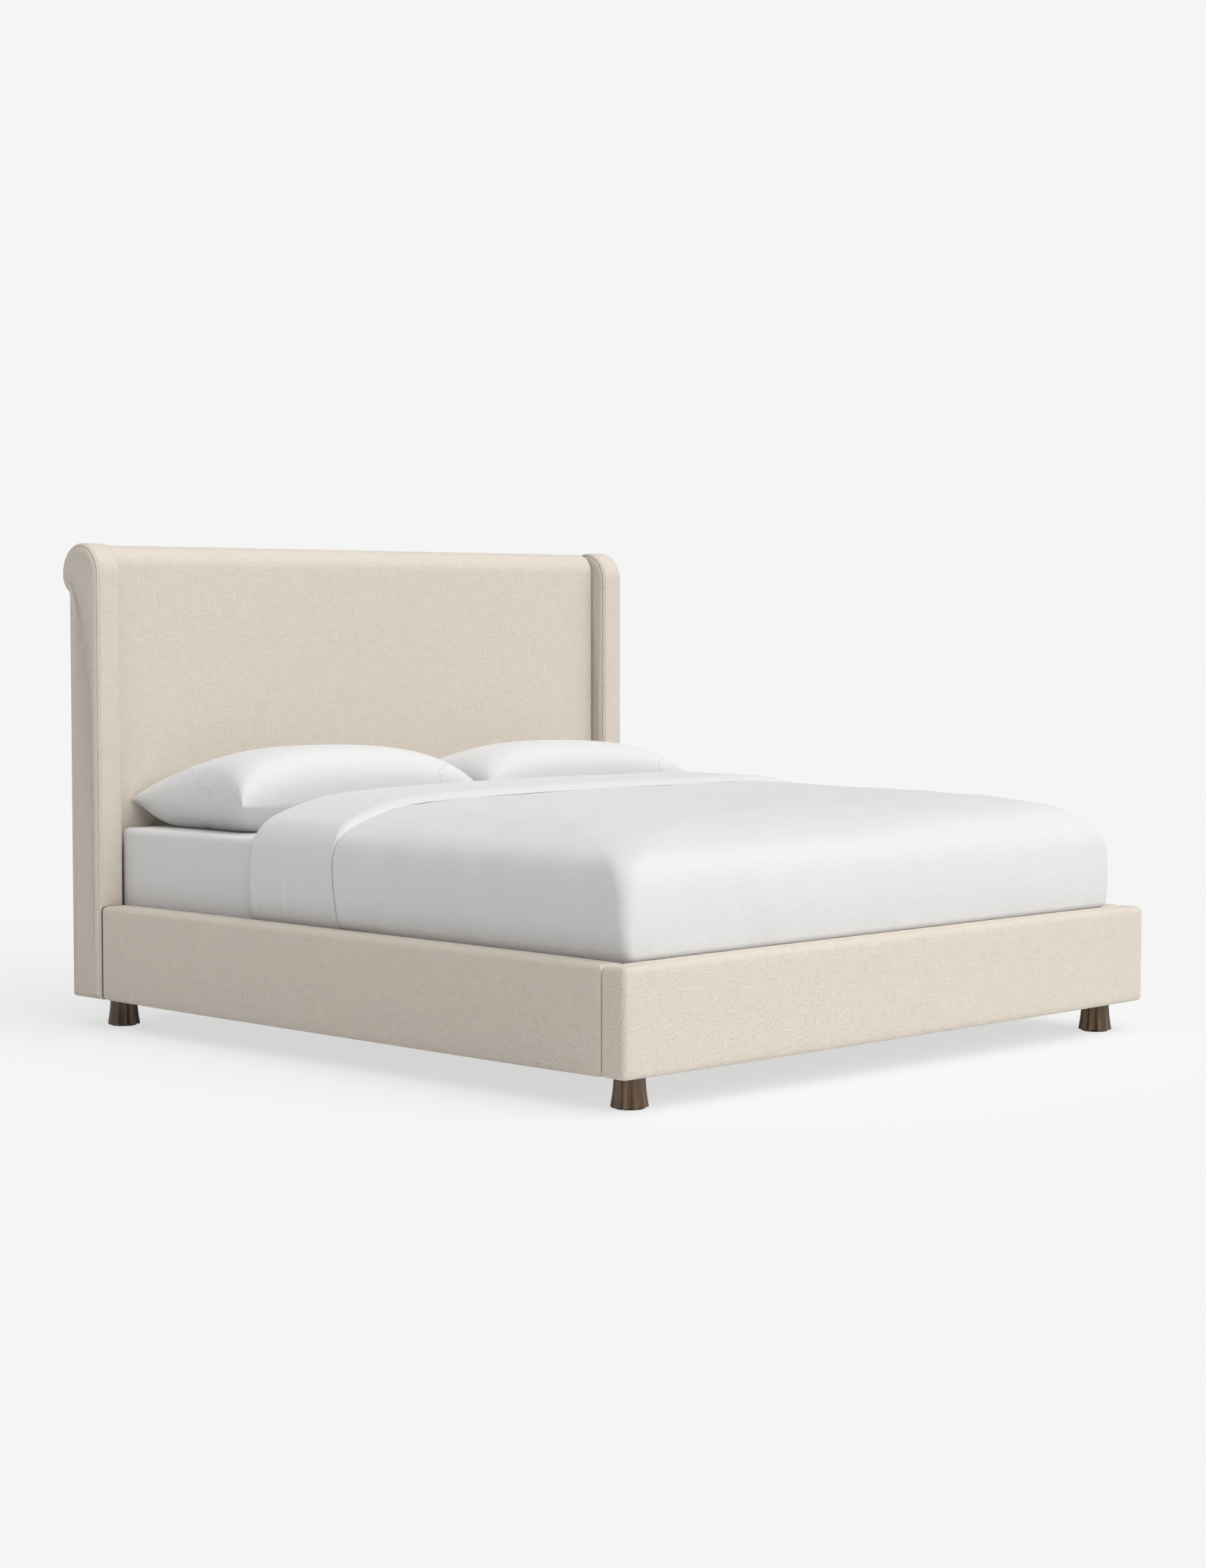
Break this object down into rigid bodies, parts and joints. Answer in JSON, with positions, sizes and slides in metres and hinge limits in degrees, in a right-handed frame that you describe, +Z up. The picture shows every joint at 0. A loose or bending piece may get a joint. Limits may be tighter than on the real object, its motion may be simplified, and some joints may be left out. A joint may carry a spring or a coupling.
{
  "type": "upholstered headboard bed",
  "caption": "Upholstered king bed with a scroll-winged headboard, boxed padded rails, fluted legs, slatted base, mattress, sheets, duvet and two pillows.",
  "frame": {"origin": "on the floor, under the centre of the overall plan", "axes": "+X across the bed to the right seen from the foot end, +Y from the foot to the headboard, +Z up"},
  "size_m": [2.1, 2.271, 1.386],
  "materials": {
    "linen": "woven linen-look upholstery, natural",
    "foam": "polyurethane foam with wadding",
    "timber": "kiln-dried hardwood and plywood, sanded",
    "pine": "planed pine",
    "dark_wood": "dark stained, satin lacquer",
    "steel": "black powder coat",
    "zinc": "zinc plated",
    "glide": "moulded nylon",
    "backing": "board wrapped in the same linen-look fabric",
    "mattress": "knitted mattress ticking over foam and springs",
    "white_cotton": "white percale cotton",
    "down": "down-proof cotton with filling"
  },
  "bodies": {
    "frame": {"beam_hangers": "steel", "bracket_bolts": "zinc", "centre_beam": "pine", "centre_leg_1": "timber", "centre_leg_2": "timber", "centre_leg_3": "timber", "corner_blocks": "timber", "corner_brackets": "steel", "footboard_board": "timber", "footboard_cover": "linen", "footboard_foam": "foam", "headboard_back_panel": "backing", "headboard_cover": "linen", "headboard_foam": "foam", "headboard_frame": "timber", "headboard_front_board": "timber", "leg_back_left": "dark_wood", "leg_back_right": "dark_wood", "leg_front_left": "dark_wood", "leg_front_right": "dark_wood", "leg_glides": "glide", "leg_hanger_bolts": "zinc", "leg_plates": "zinc", "rail_board_left": "timber", "rail_board_right": "timber", "rail_cover_left": "linen", "rail_cover_right": "linen", "rail_foam_left": "foam", "rail_foam_right": "foam", "slat_01": "pine", "slat_02": "pine", "slat_03": "pine", "slat_04": "pine", "slat_05": "pine", "slat_06": "pine", "slat_07": "pine", "slat_08": "pine", "slat_09": "pine", "slat_10": "pine", "slat_11": "pine", "slat_ledger_left": "pine", "slat_ledger_right": "pine", "wing_cover_left": "linen", "wing_cover_right": "linen", "wing_foam_left": "foam", "wing_foam_right": "foam", "wing_frame_left": "timber", "wing_frame_right": "timber"},
    "mattress": {"mattress": "mattress", "fitted_sheet": "white_cotton"},
    "bedding": {"flat_sheet": "white_cotton", "duvet": "white_cotton"},
    "pillow_left": {"pillow_left": "down", "pillowcase_left": "white_cotton"},
    "pillow_right": {"pillow_right": "down", "pillowcase_right": "white_cotton"},
    "leveller_1": {"leveller_1": "zinc"},
    "leveller_2": {"leveller_2": "zinc"},
    "leveller_3": {"leveller_3": "zinc"}
  },
  "joints": [
    {"name": "mattress_lift", "type": "slide", "parent": "frame", "child": "mattress", "axis": [0, 0, 1], "range_m": [0, 0.4]},
    {"name": "bedding_lift", "type": "slide", "parent": "mattress", "child": "bedding", "axis": [0, 0, 1], "range_m": [0, 0.4]},
    {"name": "pillow_left_lift", "type": "slide", "parent": "mattress", "child": "pillow_left", "axis": [0, 0, 1], "range_m": [0, 0.5]},
    {"name": "pillow_right_lift", "type": "slide", "parent": "mattress", "child": "pillow_right", "axis": [0, 0, 1], "range_m": [0, 0.5]},
    {"name": "leveller_1_screw", "type": "slide", "parent": "frame", "child": "leveller_1", "axis": [0, 0, -1], "range_m": [0, 0.02]},
    {"name": "leveller_2_screw", "type": "slide", "parent": "frame", "child": "leveller_2", "axis": [0, 0, -1], "range_m": [0, 0.02]},
    {"name": "leveller_3_screw", "type": "slide", "parent": "frame", "child": "leveller_3", "axis": [0, 0, -1], "range_m": [0, 0.02]}
  ]
}
